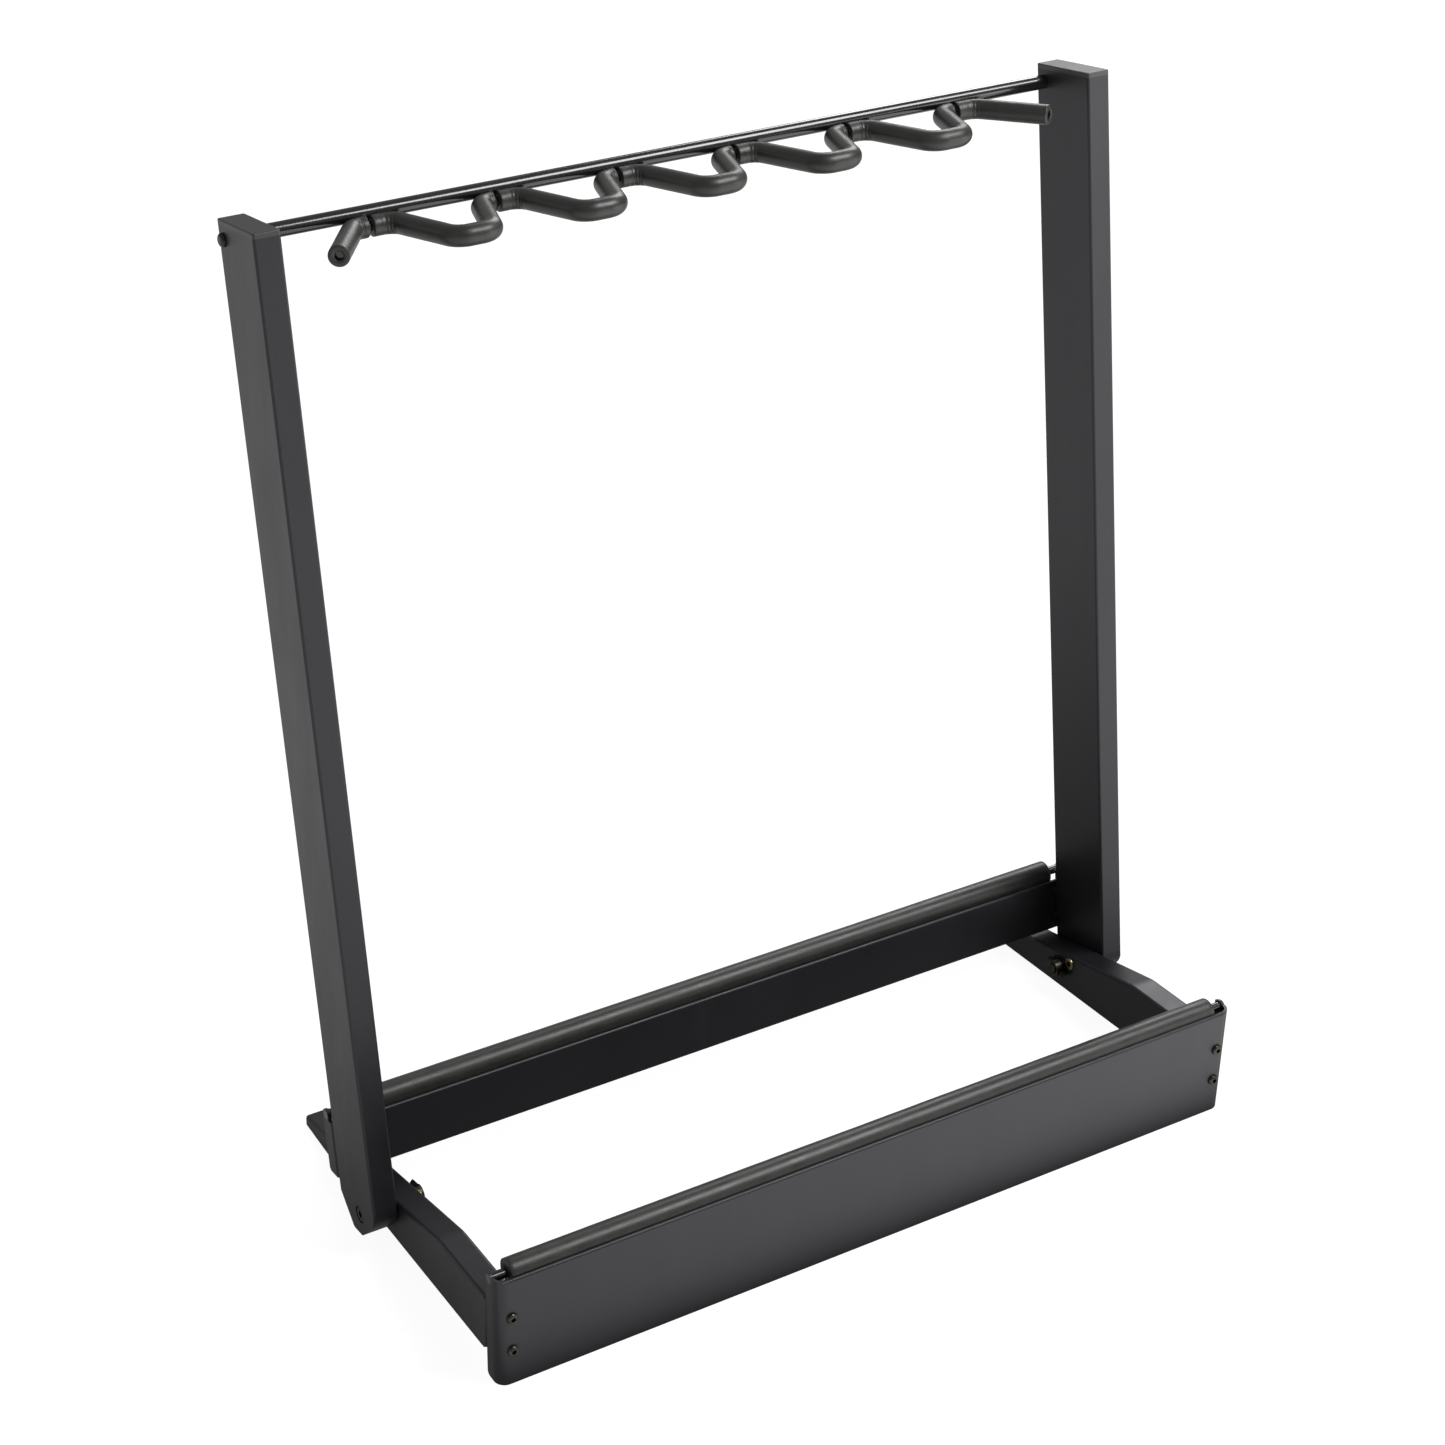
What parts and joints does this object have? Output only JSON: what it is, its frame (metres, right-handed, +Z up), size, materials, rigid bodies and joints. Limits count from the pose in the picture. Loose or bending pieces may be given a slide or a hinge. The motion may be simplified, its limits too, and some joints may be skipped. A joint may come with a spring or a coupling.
{
  "type": "guitar rack",
  "caption": "Free-standing folding rack for guitars: leaning frame with a wavy foam-covered neck hanger over a low base with two foam-covered bars.",
  "frame": {"origin": "on the floor, below the middle of the whole rack's box when it stands open", "axes": "+X to the right as seen from the front, +Y to the back, +Z up"},
  "size_m": [0.7712, 0.3757, 0.8597],
  "materials": {
    "black_powder_coat": "satin black powder coat",
    "gloss_black_rod": "gloss black enamel",
    "dark_foam": "matt closed-cell foam with a fine skin",
    "black_plastic": "matt moulded plastic",
    "zinc_steel": "black zinc plating",
    "brass_insert": "satin"
  },
  "bodies": {
    "base": {"left_side_rail": "black_powder_coat", "right_side_rail": "black_powder_coat", "front_panel": "black_powder_coat", "front_rod": "gloss_black_rod", "front_foam_tube": "dark_foam", "front_panel_screws": "zinc_steel", "pivot_bolts": "zinc_steel", "pivot_nuts": "zinc_steel", "pivot_washers": "zinc_steel", "lock_inserts": "brass_insert"},
    "frame": {"left_upright": "black_powder_coat", "right_upright": "black_powder_coat", "left_top_cap": "black_plastic", "right_top_cap": "black_plastic", "left_foot_plug": "black_plastic", "right_foot_plug": "black_plastic", "pivot_bushings": "zinc_steel", "top_rod": "gloss_black_rod", "rod_bolts": "zinc_steel", "hanger_wire": "gloss_black_rod", "hanger_weld_tabs": "gloss_black_rod", "left_end_sleeve": "dark_foam", "neck_sleeve_1": "dark_foam", "neck_sleeve_2": "dark_foam", "neck_sleeve_3": "dark_foam", "neck_sleeve_4": "dark_foam", "neck_sleeve_5": "dark_foam", "right_end_sleeve": "dark_foam", "rear_panel": "black_powder_coat", "rear_rod": "gloss_black_rod", "rear_foam_tube": "dark_foam", "rear_panel_spacers": "black_plastic", "rear_panel_screws": "zinc_steel"}
  },
  "joints": [
    {"name": "fold_hinge", "type": "hinge", "parent": "base", "child": "frame", "pos_m": [0, 0.02131, 0.03041], "axis": [1, 0, 0], "range_deg": [0, 96]}
  ]
}
